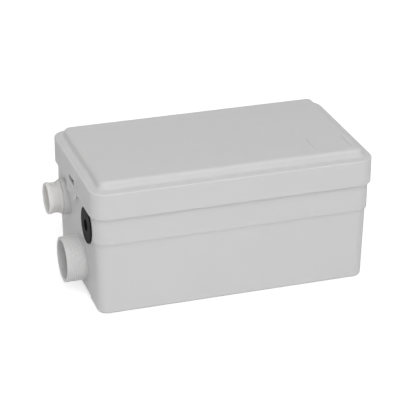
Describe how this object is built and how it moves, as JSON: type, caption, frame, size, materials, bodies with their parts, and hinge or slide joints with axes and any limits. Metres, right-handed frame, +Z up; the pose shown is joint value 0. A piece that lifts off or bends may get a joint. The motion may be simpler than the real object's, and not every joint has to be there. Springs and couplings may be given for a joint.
{
  "type": "waste water lifting pump",
  "caption": "Low box-shaped waste water lifting pump: moulded tank with clip-on lid, threaded inlet stub, hose spigot and cable grommet, with a cutting pump and flap valves inside.",
  "frame": {"origin": "on the floor under the middle of the whole outline, pipe ports included", "axes": "+X along the casing away from the pipe ports, +Y to the back, +Z up"},
  "size_m": [0.322, 0.172, 0.146],
  "materials": {
    "casing_plastic": "fine satin moulded plastic",
    "spigot_plastic": "natural white moulded plastic",
    "black_rubber": "matt moulded rubber",
    "hose_rubber": "matt moulded hose",
    "carbon_foam": "open foam loaded with carbon",
    "grey_plastic": "moulded dark grey plastic",
    "pump_plastic": "glass filled black plastic",
    "white_plastic": "natural white plastic",
    "red_plastic": "smooth red plastic",
    "steel": "drawn and ground stainless steel",
    "cast_aluminium": "as cast aluminium",
    "core_iron": "stacked sheet iron",
    "copper": "lacquered copper wire",
    "contact_brass": "spring brass",
    "seal_ceramic": "polished ceramic",
    "board": "lacquered circuit board",
    "lead_sheath": "smooth black sheath"
  },
  "bodies": {
    "casing": {"tank": "casing_plastic", "lid_gasket": "black_rubber", "discharge_spigot": "spigot_plastic", "spigot_seal": "black_rubber", "valve_housing": "grey_plastic", "valve_pin": "steel", "discharge_hose": "hose_rubber", "hose_clamp_upper": "steel", "hose_clamp_lower": "steel", "cable_grommet": "black_rubber", "inlet_seat_ring": "grey_plastic", "inlet_pin": "steel", "volute": "pump_plastic", "strainer": "pump_plastic", "damper_1": "black_rubber", "damper_2": "black_rubber", "damper_3": "black_rubber", "damper_4": "black_rubber", "bearing_bracket": "cast_aluminium", "motor_can": "steel", "upper_bracket": "cast_aluminium", "stator_core": "core_iron", "windings": "copper", "lower_bearing": "steel", "upper_bearing": "steel", "seal_seat": "seal_ceramic", "air_bell": "white_plastic", "switch_base": "grey_plastic", "diaphragm": "black_rubber", "switch_cap": "grey_plastic", "microswitch": "red_plastic", "control_box": "grey_plastic", "box_cover": "grey_plastic", "circuit_board": "board", "run_capacitor": "cast_aluminium", "terminal_block": "grey_plastic", "motor_gland": "grey_plastic", "motor_lead": "lead_sheath", "switch_lead": "lead_sheath"},
    "lid": {"lid": "casing_plastic", "carbon_filter": "carbon_foam", "filter_cap": "grey_plastic"},
    "rotor": {"shaft": "steel", "rotor_core": "core_iron", "impeller": "pump_plastic", "cutter": "steel", "seal_ring": "seal_ceramic"},
    "inlet_flap": {"inlet_flap": "black_rubber"},
    "valve_flap": {"valve_flap": "black_rubber"},
    "plunger": {"plunger": "red_plastic"},
    "switch_lever": {"switch_lever": "contact_brass"}
  },
  "joints": [
    {"name": "lid_lift", "type": "slide", "parent": "casing", "child": "lid", "axis": [0, 0, 1], "range_m": [0, 0.15]},
    {"name": "rotor_spin", "type": "hinge", "parent": "casing", "child": "rotor", "pos_m": [0.03757, 0, 0.07], "axis": [0, 0, 1], "continuous": true},
    {"name": "inlet_flap_swing", "type": "hinge", "parent": "casing", "child": "inlet_flap", "pos_m": [-0.1222, -0.0152, 0.0645], "axis": [0, -1, 0], "range_deg": [0, 70]},
    {"name": "valve_flap_swing", "type": "hinge", "parent": "casing", "child": "valve_flap", "pos_m": [-0.1015, 0.0406, 0.0978], "axis": [0, 1, 0], "range_deg": [0, 55]},
    {"name": "plunger_press", "type": "slide", "parent": "casing", "child": "plunger", "axis": [0, 0, 1], "range_m": [0, 0.0025], "stiffness_N_per_m": 200, "springref_m": -0.001},
    {"name": "switch_lever_tilt", "type": "hinge", "parent": "casing", "child": "switch_lever", "pos_m": [0.13157, 0.026, 0.1156], "axis": [0, 1, 0], "range_deg": [0, 12.8]}
  ],
  "couplings": [
    {"joint": "switch_lever_tilt", "follows": "plunger_press", "rad_per_m": 89.007}
  ]
}
